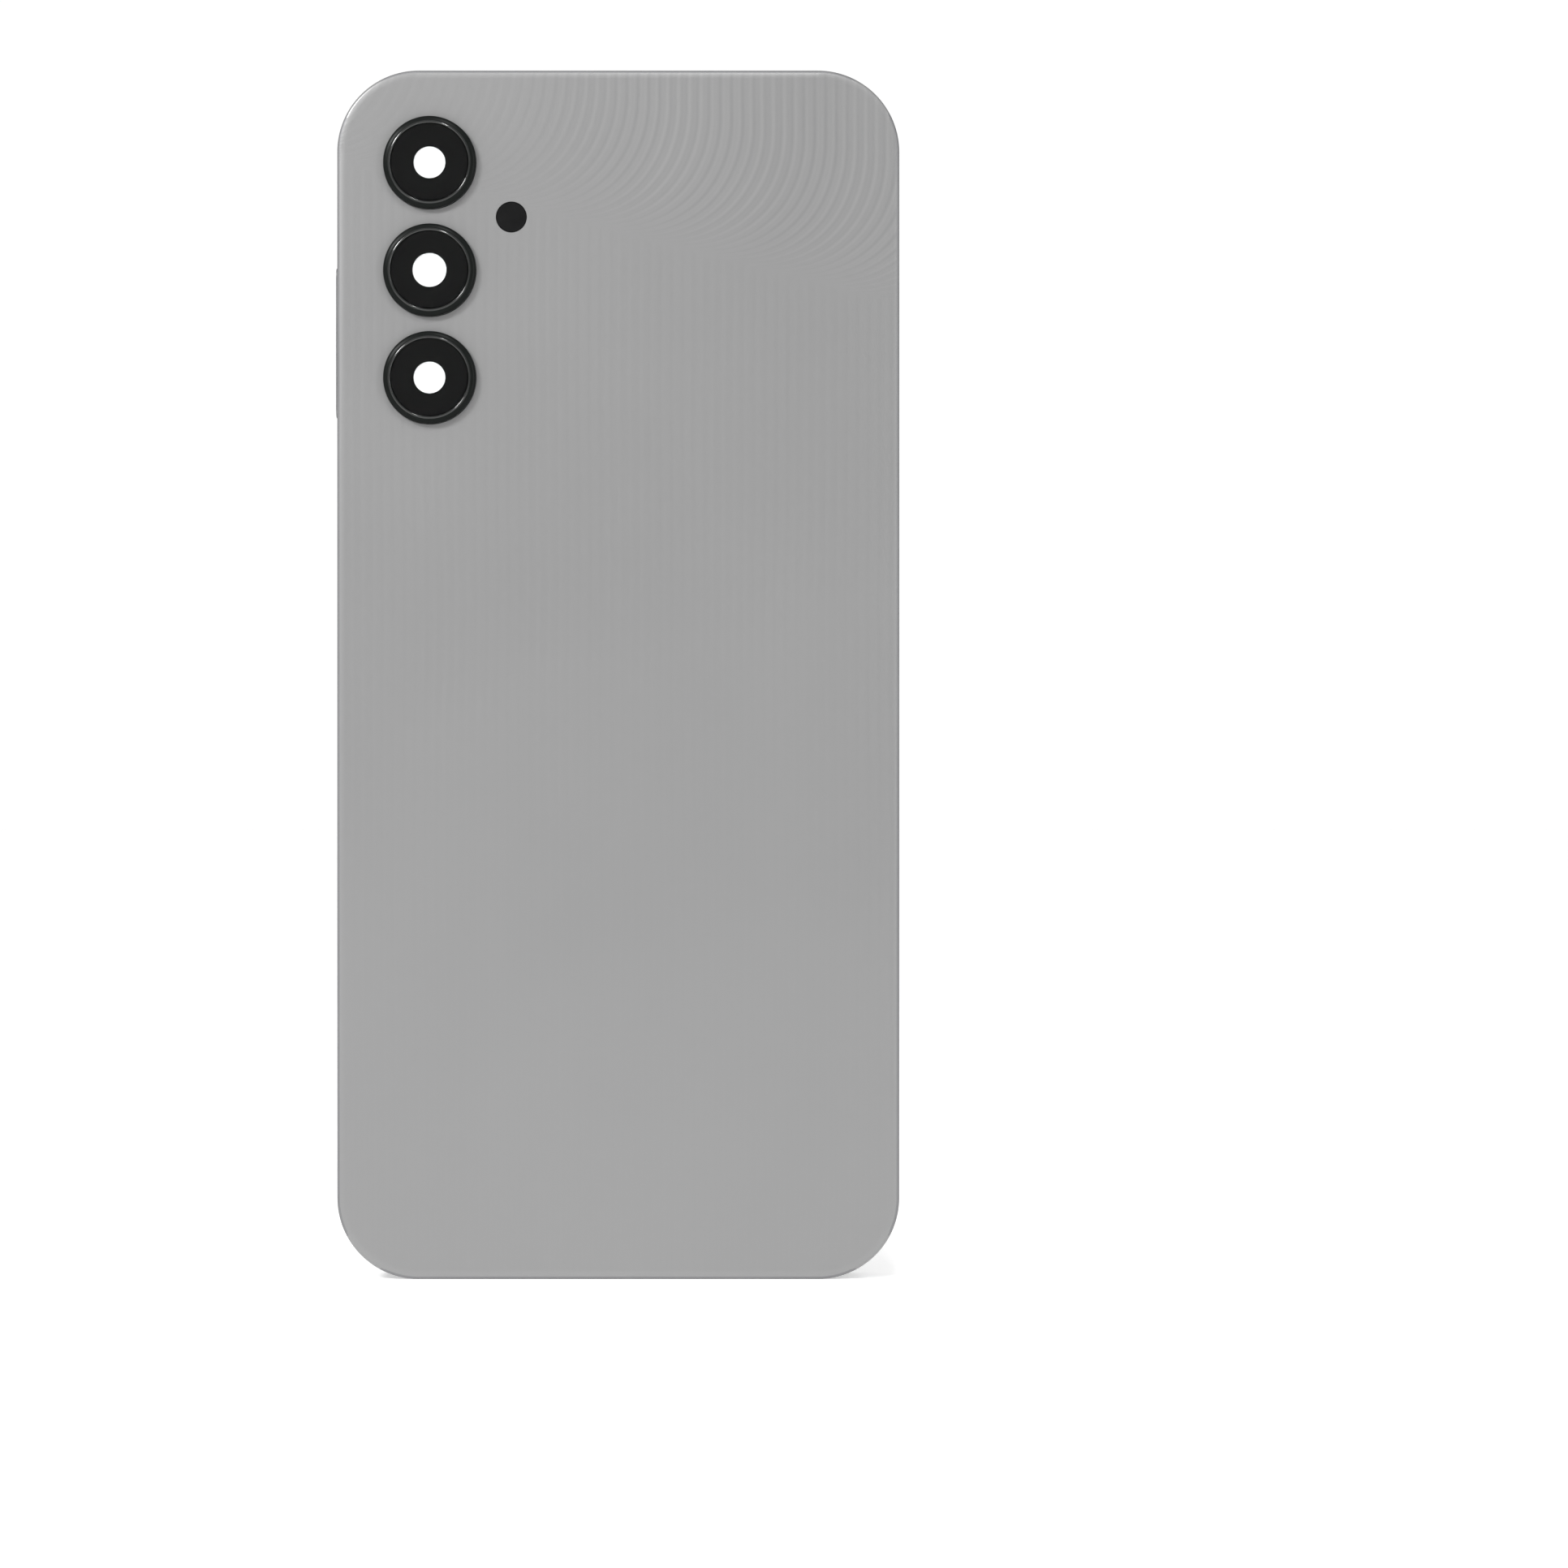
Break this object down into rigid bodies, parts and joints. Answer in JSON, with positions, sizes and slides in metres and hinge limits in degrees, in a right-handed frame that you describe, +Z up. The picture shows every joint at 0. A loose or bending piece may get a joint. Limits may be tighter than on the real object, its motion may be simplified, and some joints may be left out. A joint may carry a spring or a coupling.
{
  "type": "smartphone rear housing",
  "caption": "Slim silver phone back and side frame with camera trims, black camera bracket, flash window, tapes and a rocking volume key.",
  "frame": {"origin": "middle of the bottom edge, half way through the side frame's thickness", "axes": "+Z up along the height; +X across, away from the key side; +Y through the thickness, from the back face to the open side"},
  "size_m": [0.0785, 0.0096, 0.1677],
  "materials": {
    "silver_housing": "satin silver lacquer with fine curved brush lines outside, bare metallised plastic inside",
    "key_silver": "satin silver lacquer",
    "bracket_plastic": "matt black moulded nylon",
    "ring_black": "polished black",
    "cover_glass": "clear hard glass",
    "seal_black": "black adhesive film",
    "white_film": "white protective film",
    "adhesive_sheet": "light grey adhesive sheet",
    "smoked_window": "smoked clear plastic",
    "frosted_lens": "frosted pressed lens with ring steps",
    "black_tape": "black foam tape",
    "grey_tape": "dark grey tape",
    "key_black": "black moulded strip",
    "pin_steel": "bright steel pins",
    "dust_mesh": "fine black mesh"
  },
  "bodies": {
    "housing": {"rear_shell": "silver_housing", "camera_bracket": "bracket_plastic", "camera_ring_upper": "ring_black", "camera_ring_middle": "ring_black", "camera_ring_lower": "ring_black", "camera_glass_upper": "cover_glass", "camera_glass_middle": "cover_glass", "camera_glass_lower": "cover_glass", "glass_seal_upper": "seal_black", "glass_seal_middle": "seal_black", "glass_seal_lower": "seal_black", "lens_film_upper": "white_film", "lens_film_middle": "white_film", "lens_film_lower": "white_film", "bracket_tape": "adhesive_sheet", "flash_window": "smoked_window", "flash_lens": "frosted_lens", "flash_tape": "black_tape", "side_tape": "grey_tape", "key_pins": "pin_steel", "speaker_mesh": "dust_mesh", "microphone_mesh": "dust_mesh"},
    "volume_rocker": {"volume_key": "key_silver", "key_carriage": "key_black"}
  },
  "joints": [
    {"name": "volume_key_rock", "type": "hinge", "parent": "housing", "child": "volume_rocker", "pos_m": [-0.03604, 0.0003, 0.1302], "axis": [0, 1, 0], "range_deg": [-1.2, 1.2], "stiffness_Nm_per_rad": 0.3}
  ]
}
